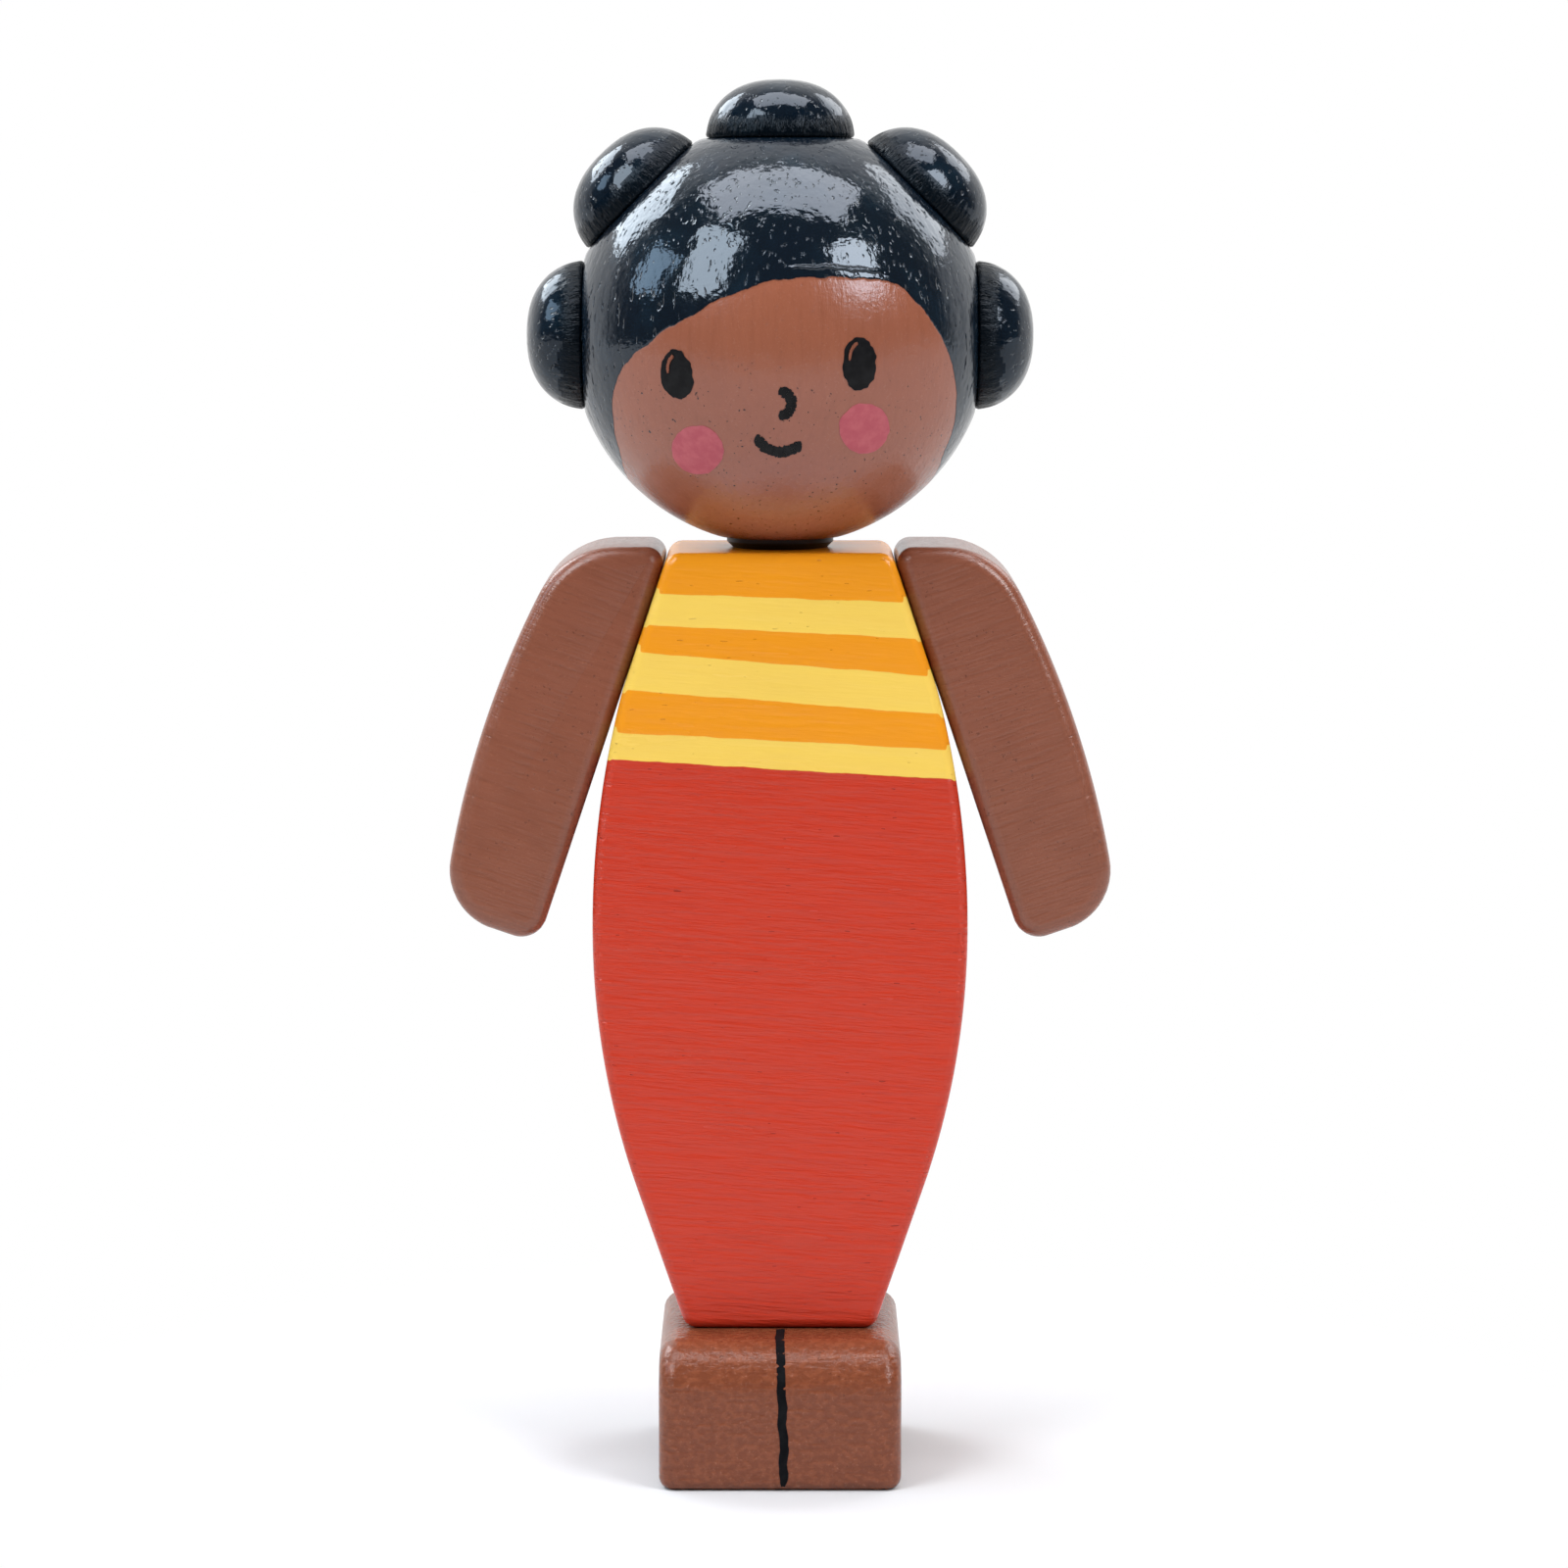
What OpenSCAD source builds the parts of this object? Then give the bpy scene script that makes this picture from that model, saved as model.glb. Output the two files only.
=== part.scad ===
// Painted wooden peg doll: a ball head with five buns, a tapered body board,
// two arms that swing on slanted shoulder faces, and a block for the feet.
// Millimetres. Z is up, the doll faces -Y, and its own left is +X.
// The origin is under the body's axis, on the floor.

/* [Head] */
// Diameter of the ball
head_d = 35.3; // [32:0.1:40]
// Depth of each flat that is cut on the ball to seat a bun
seat_depth = 1.2; // [0.9:0.05:1.6]
// Diameter of a bun
bun_d = 12.4; // [10:0.1:13]
// Height of a bun above its flat
bun_h = 4.85; // [3:0.05:7]
// Angle from one bun to the next, around the face
bun_step = 45; // [42:1:50]
// Diameter of the tenon under a bun
tenon_d = 6; // [4:0.1:6.5]
// Length of the tenon under a bun
tenon_len = 6; // [4:0.1:6.5]

/* [Neck] */
// Diameter of the neck peg where it shows
neck_d = 9; // [7:0.1:11]
// Depth of the flat that is cut under the ball, over the neck
chin_depth = 0.65; // [0.55:0.05:1]
// Air between the top of the body and the flat under the ball
neck_gap = 0.8; // [0.4:0.05:1.5]
// Length of the neck peg above the body
neck_len = 9.5; // [6:0.1:12]
// Diameter of the stem that is glued into the body
stem_d = 6; // [4:0.1:7]
// Length of the stem that is glued into the body
stem_len = 8; // [5:0.1:9]

/* [Body] */
// Height of the body board
body_h = 65.75; // [60:0.05:72]
// Thickness of the body board, front to back
body_t = 16; // [14:0.1:19]
// Width of the body at its top
top_w = 18.6; // [17:0.1:21]
// Slant of the shoulder faces from upright, in degrees
shoulder_slant = 18.5; // [15:0.1:20]
// Upright height of the flat shoulder faces
shoulder_h = 11.4; // [10:0.1:14]
// Width of the body at the hips
hip_w = 31.5; // [29:0.1:34]
// Height of the hips above the bottom of the body
hip_h = 34; // [28:0.1:36]
// Radius of the sides' curve below the hips
skirt_r = 68; // [56:1:80]
// Slant of the straight sides at the bottom, in degrees
skirt_slant = 18.9; // [17:0.1:22]
// Radius of the body's corners, seen from the front
body_corner_r = 1.3; // [1:0.05:2]
// Rounding of the body's front and back edges
body_edge_r = 0.9; // [0.4:0.05:1]

/* [Arms] */
// Length of an arm along its inner face
arm_len = 34.9; // [30:0.1:38]
// Width of an arm, square to its inner face
arm_w = 10.05; // [9:0.05:12]
// Thickness of an arm, front to back
arm_t = 14; // [11:0.1:14]
// Height of the top of an arm above the top of the body
arm_rise = 0.4; // [0:0.05:0.8]
// Place of the arm's widest point, along the inner face
arm_bow_at = 18.9; // [16:0.1:21]
// Radius of the arm's long outer curve
arm_bow_r = 80; // [60:1:100]
// Radius of the arm's shoulder
arm_shoulder_r = 7.2; // [5:0.1:7.8]
// Radius of the hand's outer corner
hand_r = 5.2; // [3:0.1:5.6]
// Radius of the hand's inner corner
palm_r = 2.2; // [1.4:0.1:2.5]
// Radius of the arm's corner beside the neck
arm_corner_r = 1.4; // [1.3:0.05:2]
// Rounding of the arm's front and back edges
arm_edge_r = 1.2; // [0.6:0.05:1.25]
// Distance of the arm's pivot below the top of the shoulder face
pivot_drop = 7.5; // [7:0.1:8.5]
// Diameter of the arm's pivot pin
pin_d = 5; // [3.5:0.1:6]
// Depth of the pivot pin in the arm
pin_in_arm = 6.5; // [5:0.1:7]
// Depth of the pivot pin in the body
pin_in_body = 6.5; // [5:0.1:7.5]

/* [Feet] */
// Width of the foot block
foot_w = 20.3; // [17:0.1:24]
// Depth of the foot block, toe to heel
foot_l = 23; // [20:0.1:26]
// Height of the foot block
foot_h = 12.2; // [10:0.1:14]
// Radius of the rounded toe edge
toe_r = 3.2; // [2:0.1:4.5]
// Radius of the foot block's upright edges
foot_corner_r = 1.4; // [1.2:0.05:2]
// Rounding of the foot block's top edges at the sides and the heel
foot_edge_r = 0.9; // [0.4:0.05:1]
// Rounding of the foot block's bottom edges
sole_edge_r = 0.4; // [0.2:0.05:0.8]
// Diameter of the dowels between the feet and the body
dowel_d = 4; // [3:0.1:5]
// Length of the dowels between the feet and the body
dowel_len = 14; // [10:0.1:16]
// Distance between the two dowels
dowel_gap = 7.6; // [6:0.1:8.5]

/* [Fits] */
// Air around a pin that turns in its bore, on the radius
turn_clearance = 0.05; // [0.02:0.01:0.1]
// Glue around a dowel or tenon in its hole, on the radius
glue_clearance = 0.03; // [0.01:0.01:0.08]
// Air past the end of a pin, peg or dowel in its hole
end_clearance = 0.3; // [0.2:0.05:0.6]
// Air between an arm and its shoulder face
arm_gap = 0.15; // [0.1:0.05:0.5]

/* [Hidden] */

// Length by which a cutter runs past the face that it opens
overrun = 1;
// Chamfer at the ends of the pins, pegs and dowels
pin_chamfer = 0.5;
// How square the dome of a bun is: 2 is an ellipse, more is squarer
dome_power = 2.4;
// Steps of a dome, of a bow, of a corner and of a rounded edge
dome_steps = 12;
bow_steps = 10;
corner_steps = 6;
edge_step = 30;
round_fn = 64;
hull_fn = 32;

hair_colour = "#16222f";
skin_colour = "#8a5443";
dress_colour = "#c74736";
wood_colour = "#d9b98a";
neck_colour = "#141416";

head_r = head_d / 2;
seat_r = head_r - seat_depth;
body_top = foot_h + body_h;
hip_z = foot_h + hip_h;
neck_bore_r = neck_d / 2 + turn_clearance;
head_z = body_top + neck_gap + head_r - chin_depth;

// Points of an arc about a centre, from one angle to another
function arc(centre, r, from, to, steps) =
    [for (i = [0:steps]) let (a = from + (to - from) * i / steps) centre + r * [cos(a), sin(a)]];

function reversed(list) = [for (i = [len(list) - 1:-1:0]) list[i]];

// Outline of the body board

// The shoulder faces meet the upper bow here
flat_end = [top_w / 2 + shoulder_h * tan(shoulder_slant), body_top - shoulder_h];
// The upper bow is upright at the hips and ends on the shoulder face
bow_in = hip_w / 2 - flat_end.x;
bow_up = flat_end.y - hip_z;
upper_bow_r = (pow(bow_in, 2) + pow(bow_up, 2)) / (2 * bow_in);
upper_bow_angle = asin(bow_up / upper_bow_r);
upper_bow_centre = [hip_w / 2 - upper_bow_r, hip_z];
// The lower bow is upright at the hips too, and runs into the straight lower sides
skirt_centre = [hip_w / 2 - skirt_r, hip_z];
skirt_end = skirt_centre + skirt_r * [cos(skirt_slant), -sin(skirt_slant)];
// Corner arcs that touch the top or the bottom and the side next to it
top_corner = [
    top_w / 2 - body_corner_r * (1 - sin(shoulder_slant)) / cos(shoulder_slant),
    body_top - body_corner_r
];
bottom_corner_z = foot_h + body_corner_r;
bottom_corner = [
    skirt_end.x + ((bottom_corner_z - skirt_end.y) * sin(skirt_slant) - body_corner_r) / cos(skirt_slant),
    bottom_corner_z
];

function body_side(inset) = concat(
    arc(top_corner, body_corner_r - inset, 90, shoulder_slant, corner_steps),
    arc(upper_bow_centre, upper_bow_r - inset, upper_bow_angle, 0, bow_steps),
    arc(skirt_centre, skirt_r - inset, 0, -skirt_slant, bow_steps),
    arc(bottom_corner, body_corner_r - inset, -skirt_slant, -90, corner_steps)
);

function body_outline(inset) = let (side = body_side(inset))
    concat(side, reversed([for (p = side) [-p.x, p.y]]));

// Outline of an arm, in the frame of its shoulder face: outwards, and up along the face

// The top of the arm is level, so in this frame it leans with the shoulder face
top_normal = [sin(shoulder_slant), cos(shoulder_slant)];
top_along = [cos(shoulder_slant), -sin(shoulder_slant)];
arm_bow_centre = [arm_w - arm_bow_r, -arm_bow_at];
// The shoulder arc touches the level top and runs into the long outer bow
shoulder_line = top_normal * (arm_rise - arm_shoulder_r);
shoulder_offset = shoulder_line - arm_bow_centre;
shoulder_dot = top_along * shoulder_offset;
shoulder_rest = shoulder_offset * shoulder_offset - pow(arm_bow_r - arm_shoulder_r, 2);
shoulder_centre = shoulder_line + top_along * (sqrt(pow(shoulder_dot, 2) - shoulder_rest) - shoulder_dot);
shoulder_angle = atan2(shoulder_centre.y - arm_bow_centre.y, shoulder_centre.x - arm_bow_centre.x);
// The hand's outer corner runs into the bow from below
hand_y = hand_r - arm_len;
hand_drop = hand_y - arm_bow_centre.y;
hand_centre = [arm_bow_centre.x + sqrt(pow(arm_bow_r - hand_r, 2) - pow(hand_drop, 2)), hand_y];
hand_angle = asin(hand_drop / (arm_bow_r - hand_r));
palm_centre = [palm_r, palm_r - arm_len];
neck_side_corner = [
    arm_corner_r,
    (arm_rise - arm_corner_r - arm_corner_r * sin(shoulder_slant)) / cos(shoulder_slant)
];

function arm_outline(inset) = concat(
    arc(neck_side_corner, arm_corner_r - inset, 180, 90 - shoulder_slant, corner_steps),
    arc(shoulder_centre, arm_shoulder_r - inset, 90 - shoulder_slant, shoulder_angle, bow_steps),
    arc(arm_bow_centre, arm_bow_r - inset, shoulder_angle, hand_angle, bow_steps),
    arc(hand_centre, hand_r - inset, hand_angle, -90, corner_steps),
    arc(palm_centre, palm_r - inset, -90, -180, corner_steps)
);

// A board standing on edge, with its front and back edges rounded over
module rounded_board(outline, thickness, edge_r) {
    hull()
        for (a = [0:edge_step:90])
            rotate([90, 0, 0])
                linear_extrude(height = thickness - 2 * edge_r * (1 - cos(a)), center = true)
                    polygon(outline(edge_r * (1 - sin(a))));
}

// A round peg from z = 0 up, with both ends chamfered
module peg(d, len) {
    rotate_extrude($fn = round_fn)
        polygon([
            [0, 0],
            [d / 2 - pin_chamfer, 0],
            [d / 2, pin_chamfer],
            [d / 2, len - pin_chamfer],
            [d / 2 - pin_chamfer, len],
            [0, len]
        ]);
}

// A round hole from z = 0 down, open at the top
module hole(d, depth) {
    translate([0, 0, -depth])
        cylinder(d = d, h = depth + overrun, $fn = round_fn);
}

// The frame of a bun's seat: z runs outwards from the middle of its flat
module at_seat(turn) {
    translate([0, 0, head_z])
        rotate([0, turn, 0])
            translate([0, 0, seat_r])
                children();
}

// The frame of the left shoulder face: x runs outwards, z up along the face from its pivot
module at_left_pivot() {
    translate([top_w / 2, 0, body_top])
        rotate([0, -shoulder_slant, 0])
            translate([0, 0, -pivot_drop])
                children();
}

// The same frame on the left, or mirrored to the right
module at_pivot(right = false) {
    mirror([right ? 1 : 0, 0, 0])
        at_left_pivot()
            children();
}

module head_ball() {
    color(hair_colour)
        difference() {
            translate([0, 0, head_z])
                sphere(r = head_r, $fn = round_fn);
            for (i = [-2:2])
                at_seat(i * bun_step) {
                    cylinder(r = head_r, h = seat_depth + overrun, $fn = round_fn);
                    hole(tenon_d + 2 * glue_clearance, tenon_len + end_clearance);
                }
            translate([0, 0, body_top]) {
                cylinder(r = head_r, h = neck_gap, $fn = round_fn);
                cylinder(r = neck_bore_r, h = neck_len + end_clearance, $fn = round_fn);
            }
        }
}

// A mushroom button: a squarish dome on a tenon
module bun(turn) {
    dome = [for (i = [0:dome_steps])
        let (a = 90 * i / dome_steps)
            [bun_d / 2 * pow(cos(a), 2 / dome_power), bun_h * pow(sin(a), 2 / dome_power)]];
    tenon = [
        [0, -tenon_len],
        [tenon_d / 2 - pin_chamfer, -tenon_len],
        [tenon_d / 2, pin_chamfer - tenon_len],
        [tenon_d / 2, 0]
    ];
    color(hair_colour)
        at_seat(turn)
            rotate_extrude($fn = round_fn)
                polygon(concat(tenon, dome));
}

module neck_peg() {
    color(neck_colour)
        translate([0, 0, body_top]) {
            peg(neck_d, neck_len);
            translate([0, 0, -stem_len])
                peg(stem_d, stem_len + neck_len / 2);
        }
}

module body_board() {
    color(dress_colour)
        difference() {
            rounded_board(function (inset) body_outline(inset), body_t, body_edge_r);
            translate([0, 0, body_top])
                hole(stem_d + 2 * glue_clearance, stem_len + end_clearance);
            for (right = [false, true])
                at_pivot(right)
                    rotate([0, 90, 0])
                        hole(pin_d + 2 * turn_clearance, pin_in_body + end_clearance);
            for (side = [-1, 1])
                dowel_hole(side);
        }
}

// Half of each dowel is in the feet and half in the body, on the body's middle plane
module at_dowel(side) {
    translate([side * dowel_gap / 2, 0, foot_h - dowel_len / 2])
        children();
}

module dowel_hole(side) {
    at_dowel(side)
        translate([0, 0, -end_clearance])
            cylinder(d = dowel_d + 2 * glue_clearance, h = dowel_len + 2 * end_clearance, $fn = round_fn);
}

module foot_dowel(side) {
    color(wood_colour)
        at_dowel(side)
            peg(dowel_d, dowel_len);
}

// An upright edge of the foot block, with its sole and top edges rounded over
module foot_post(height, top_r) {
    rotate_extrude($fn = hull_fn)
        polygon(concat(
            [[0, 0]],
            arc([foot_corner_r - sole_edge_r, sole_edge_r], sole_edge_r, -90, 0, corner_steps),
            arc([foot_corner_r - top_r, height - top_r], top_r, 0, 90, corner_steps),
            [[0, height]]
        ));
}

// One end of the rounded toe edge, which lies across the doll
module toe_end() {
    rotate([0, 90, 0])
        rotate_extrude($fn = round_fn)
            polygon(concat(
                [[0, 0]],
                arc([toe_r - foot_edge_r, -foot_edge_r], foot_edge_r, 0, 90, corner_steps),
                [[0, -foot_corner_r]]
            ));
}

module foot_block() {
    heel_y = body_t / 2;
    toe_y = heel_y - foot_l;
    color(skin_colour)
        difference() {
            hull()
                for (right = [0, 1])
                    mirror([right, 0, 0]) {
                        translate([foot_w / 2 - foot_corner_r, heel_y - foot_corner_r, 0])
                            foot_post(foot_h, foot_edge_r);
                        translate([foot_w / 2 - foot_corner_r, toe_y + foot_corner_r, 0])
                            foot_post(foot_h - toe_r, sole_edge_r);
                        translate([foot_w / 2, toe_y + toe_r, foot_h - toe_r])
                            toe_end();
                    }
            for (side = [-1, 1])
                dowel_hole(side);
        }
}

module arm(right) {
    color(skin_colour)
        at_pivot(right)
            difference() {
                translate([arm_gap, 0, pivot_drop])
                    rounded_board(function (inset) arm_outline(inset), arm_t, arm_edge_r);
                translate([arm_gap, 0, 0])
                    rotate([0, -90, 0])
                        hole(pin_d + 2 * glue_clearance, pin_in_arm + end_clearance);
            }
}

module arm_pin(right) {
    color(wood_colour)
        at_pivot(right)
            translate([-pin_in_body, 0, 0])
                rotate([0, 90, 0])
                    peg(pin_d, pin_in_body + arm_gap + pin_in_arm);
}

head_ball();
bun(0);  // bun_top
bun(bun_step);  // bun_upper_left
bun(-bun_step);  // bun_upper_right
bun(2 * bun_step);  // bun_side_left
bun(-2 * bun_step);  // bun_side_right
neck_peg();
body_board();
foot_block();
foot_dowel(1);  // foot_dowel_left
foot_dowel(-1);  // foot_dowel_right
arm(false);  // arm_left
arm(true);  // arm_right
arm_pin(false);  // arm_pin_left
arm_pin(true);  // arm_pin_right
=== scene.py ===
"""Looks of the painted wooden peg doll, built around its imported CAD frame."""

import math

import bmesh
import bpy
import numpy as np
from mathutils import Matrix, Vector, noise


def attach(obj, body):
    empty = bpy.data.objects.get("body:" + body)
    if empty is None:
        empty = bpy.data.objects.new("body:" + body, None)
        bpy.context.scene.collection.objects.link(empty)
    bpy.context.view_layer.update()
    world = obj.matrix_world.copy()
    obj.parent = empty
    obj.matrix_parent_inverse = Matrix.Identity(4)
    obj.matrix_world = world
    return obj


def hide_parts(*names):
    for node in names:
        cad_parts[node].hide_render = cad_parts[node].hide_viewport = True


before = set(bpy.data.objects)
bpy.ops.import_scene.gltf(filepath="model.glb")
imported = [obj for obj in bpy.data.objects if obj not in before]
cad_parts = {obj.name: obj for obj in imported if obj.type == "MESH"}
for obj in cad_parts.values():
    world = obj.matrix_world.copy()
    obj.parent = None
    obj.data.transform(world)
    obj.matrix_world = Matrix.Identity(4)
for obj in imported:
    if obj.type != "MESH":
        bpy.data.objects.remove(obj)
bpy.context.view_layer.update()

# Lengths are in millimetres and become metres through MM.
MM = 0.001

HEAD_Z = 95.75
HEAD_R = 17.65
SEAT_R = 16.45
CHIN_R = 17.0
BORE_R = 4.55
BORE_DEPTH = 9.8
SEAT_SOFTNESS = 0.07

BUN_R = 6.2
BUN_H = 4.85
BUN_POWER = 2.4
BUN_TAPER = 0.1
FRAY_H = 2.6
BUN_FOOT = 0.25
BUN_SIDES = 240
BUN_STEPS = 26
# How far apart the buns lie in the grain of their paint, so that none repeats another.
BUN_SHIFT = 40
BUN_TURNS = {
    "bun_side_right": -90,
    "bun_upper_right": -45,
    "bun_top": 0,
    "bun_upper_left": 45,
    "bun_side_left": 90,
}

BODY_BOTTOM = 12.2
BODY_TOP = 77.95
BODY_T = 16
BODY_CORNER = 1.3
BODY_EDGE = 0.9
TOP_HALF = 9.3
SHOULDER_SLANT = math.radians(18.5)
SHOULDER_END = 66.55
HIP_Z = 46.2
HIP_HALF = 15.75
UPPER_BOW = 79.88
SKIRT_BOW = 68
SKIRT_SLANT = math.radians(18.9)

ARM_T = 14
ARM_EDGE = 1.38
ARM_GAP = 0.02
# Arcs round the arm: centre outwards and up, radius, first and last angle.
ARM_ARCS = [
    (1.4, -1.523, 1.4, 180, 71.5),
    (2.0, -7.84, 7.2, 71.5, 8.74),
    (-69.95, -18.9, 80.0, 8.74, -8.3),
    (4.07, -29.7, 5.2, -8.3, -90),
    (2.2, -32.7, 2.2, -90, -180),
]

FOOT_HALF = 10.15
FOOT_FRONT = -15
FOOT_BACK = 8
FOOT_H = 12.2
TOE_R = 4.0
FOOT_EDGE = 1.6
SOLE_SHARE = 0.6
FOOT_SHIFT = 300
LINE_W = 0.74
LINE_TIP_SHARE = 0.45

FILM = 0.02
# Where the films of the face are drawn before they are laid on it.
EASEL_Y = -30
STROKE_STEPS = 28
RAGGED_SHARE = 0.15


# Editing helpers


def choose(piece):
    bpy.ops.object.select_all(action="DESELECT")
    piece.select_set(True)
    bpy.context.view_layer.objects.active = piece


def edit(piece, kind="VERT"):
    choose(piece)
    bpy.ops.object.mode_set(mode="EDIT")
    bpy.ops.mesh.select_mode(type=kind)


def leave():
    bpy.ops.object.mode_set(mode="OBJECT")


def pick(piece, part, test):
    """Selects the verts, edges or faces of the edited piece that pass the test."""
    mesh = bmesh.from_edit_mesh(piece.data)
    for other in (mesh.verts, mesh.edges, mesh.faces):
        for element in other:
            element.select_set(False)
    for element in getattr(mesh, part):
        if test(element):
            element.select_set(True)
    bmesh.update_edit_mesh(piece.data)


def settle(piece):
    """Puts the object's place into its vertices."""
    choose(piece)
    bpy.ops.object.transform_apply(location=True, rotation=True, scale=True)


def modify(piece, kind, **settings):
    choose(piece)
    modifier = piece.modifiers.new(kind.lower(), kind)
    for name, value in settings.items():
        setattr(modifier, name, value)
    bpy.ops.object.modifier_apply(modifier=modifier.name)


def tidy_mesh(piece, gap=0.002):
    edit(piece)
    bpy.ops.mesh.select_all(action="SELECT")
    bpy.ops.mesh.remove_doubles(threshold=gap * MM)
    bpy.ops.mesh.normals_make_consistent(inside=False)
    leave()


def smooth(piece, angle=40):
    choose(piece)
    bpy.ops.object.shade_smooth_by_angle(angle=math.radians(angle))


def keep_place(piece, shift=0.0):
    """Keeps where each vertex lies in the piece's own frame, for the grain of its paint."""
    points = np.zeros(len(piece.data.vertices) * 3, np.float32)
    piece.data.vertices.foreach_get("co", points)
    points[0::3] += shift * MM
    place = piece.data.attributes.new("place", "FLOAT_VECTOR", "POINT")
    place.data.foreach_set("vector", points)


def first_edge(name):
    """One edge on the X axis, a unit long, in edit mode and selected."""
    bpy.ops.object.select_all(action="DESELECT")
    bpy.ops.mesh.primitive_plane_add(size=1, rotation=(math.pi / 2, 0, 0))
    piece = bpy.context.object
    piece.name = name
    settle(piece)
    edit(piece)
    pick(piece, "verts", lambda vertex: vertex.co.z > 0)
    bpy.ops.mesh.delete(type="VERT")
    bpy.ops.mesh.select_all(action="SELECT")
    bpy.ops.transform.translate(value=(0, 0, 0.5))
    return piece


def board_from_rows(name, rows):
    """A flat board in the XZ plane, drawn row by row from (height, low x, high x)."""
    piece = first_edge(name)
    height, low, high = rows[0]
    bpy.ops.transform.resize(value=((high - low) * MM, 1, 1), center_override=(0, 0, 0))
    bpy.ops.transform.translate(value=((low + high) / 2 * MM, 0, height * MM))
    for (z0, low0, high0), (z1, low1, high1) in zip(rows, rows[1:]):
        middle = (low1 + high1) / 2
        step = (middle - (low0 + high0) / 2, 0, z1 - z0)
        move = {"value": tuple(part * MM for part in step)}
        bpy.ops.mesh.extrude_region_move(TRANSFORM_OT_translate=move)
        widen = ((high1 - low1) / (high0 - low0), 1, 1)
        bpy.ops.transform.resize(value=widen, center_override=(middle * MM, 0, z1 * MM))
    leave()
    return piece


def thicken(piece, thickness, edge, segments=5):
    """Gives a flat board its thickness and its rounded edges."""
    modify(piece, "SOLIDIFY", thickness=thickness * MM, offset=0)
    tidy_mesh(piece)
    edit(piece, "FACE")
    for side in (-1, 1):
        pick(piece, "faces", lambda face: side * face.normal.y > 0.9)
        bpy.ops.mesh.dissolve_faces()
    bpy.ops.mesh.select_all(action="SELECT")
    bpy.ops.mesh.dissolve_limited(angle_limit=math.radians(0.02))
    leave()
    modify(
        piece,
        "BEVEL",
        width=edge * MM,
        segments=segments,
        limit_method="ANGLE",
        angle_limit=math.radians(60),
        use_clamp_overlap=False,
    )
    tidy_mesh(piece)
    smooth(piece)
    modify(piece, "WEIGHTED_NORMAL", keep_sharp=True)


# Head and buns


def seat_directions():
    turns = [math.radians(turn) for turn in BUN_TURNS.values()]
    return [(math.sin(turn), 0, math.cos(turn)) for turn in turns]


def make_head():
    bpy.ops.object.select_all(action="DESELECT")
    bpy.ops.mesh.primitive_uv_sphere_add(segments=256, ring_count=128, radius=1)
    head = bpy.context.object
    head.name = "head_painted"
    count = len(head.data.vertices)
    points = np.zeros(count * 3, np.float32)
    head.data.vertices.foreach_get("co", points)
    direction = points.reshape(-1, 3).astype(float)
    direction /= np.linalg.norm(direction, axis=1)[:, None]
    flats = [(seat, SEAT_R) for seat in seat_directions()]
    flats.append(((0, 0, -1), CHIN_R))
    total = np.ones(count)
    for normal, reach in flats:
        facing = np.clip(direction @ np.array(normal, float), 0.5, None)
        total += np.exp(-(reach / facing - HEAD_R) / SEAT_SOFTNESS)
    radius = HEAD_R - SEAT_SOFTNESS * np.log(total)
    points = direction * radius[:, None] * MM
    head.data.vertices.foreach_set("co", points.astype(np.float32).ravel())
    head.data.update()
    edit(head, "FACE")
    rim = BORE_R * MM
    pick(
        head,
        "faces",
        lambda face: face.calc_center_median().z < 0
        and face.calc_center_median().xy.length < rim,
    )
    bpy.ops.mesh.delete(type="FACE")
    bpy.ops.mesh.select_mode(type="EDGE")
    pick(head, "edges", lambda part: part.is_boundary)
    mesh = bmesh.from_edit_mesh(head.data)
    ring = [vertex for vertex in mesh.verts if vertex.select]
    reach = sum(vertex.co.xy.length for vertex in ring) / len(ring)
    bpy.ops.transform.resize(value=(rim / reach, rim / reach, 1))
    lift = {"value": (0, 0, BORE_DEPTH * MM)}
    bpy.ops.mesh.extrude_region_move(TRANSFORM_OT_translate=lift)
    bpy.ops.mesh.edge_face_add()
    leave()
    tidy_mesh(head)
    keep_place(head)
    head.location.z = HEAD_Z * MM
    settle(head)
    smooth(head)
    return head


def fray(bun, number):
    """Roughens the end grain round the foot of a bun, where its fibres stand up."""
    for vertex in bun.data.vertices:
        across = vertex.co.xy.length
        if across < 0.6 * BUN_R * MM:
            continue
        fade = max(0, 1 - vertex.co.z / (FRAY_H * MM)) ** 0.7
        fibre = vertex.co.xy.normalized() * 26
        rough = noise.noise(Vector((fibre.x, fibre.y, number * 9 + vertex.co.z / MM * 0.25)))
        dent = noise.noise(Vector((fibre.x / 9, fibre.y / 9, number * 5 + vertex.co.z / MM * 0.4)))
        scale = 1 + (0.013 * rough + 0.012 * dent) * fade + 0.004 * dent
        vertex.co.x *= scale
        vertex.co.y *= scale


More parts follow.
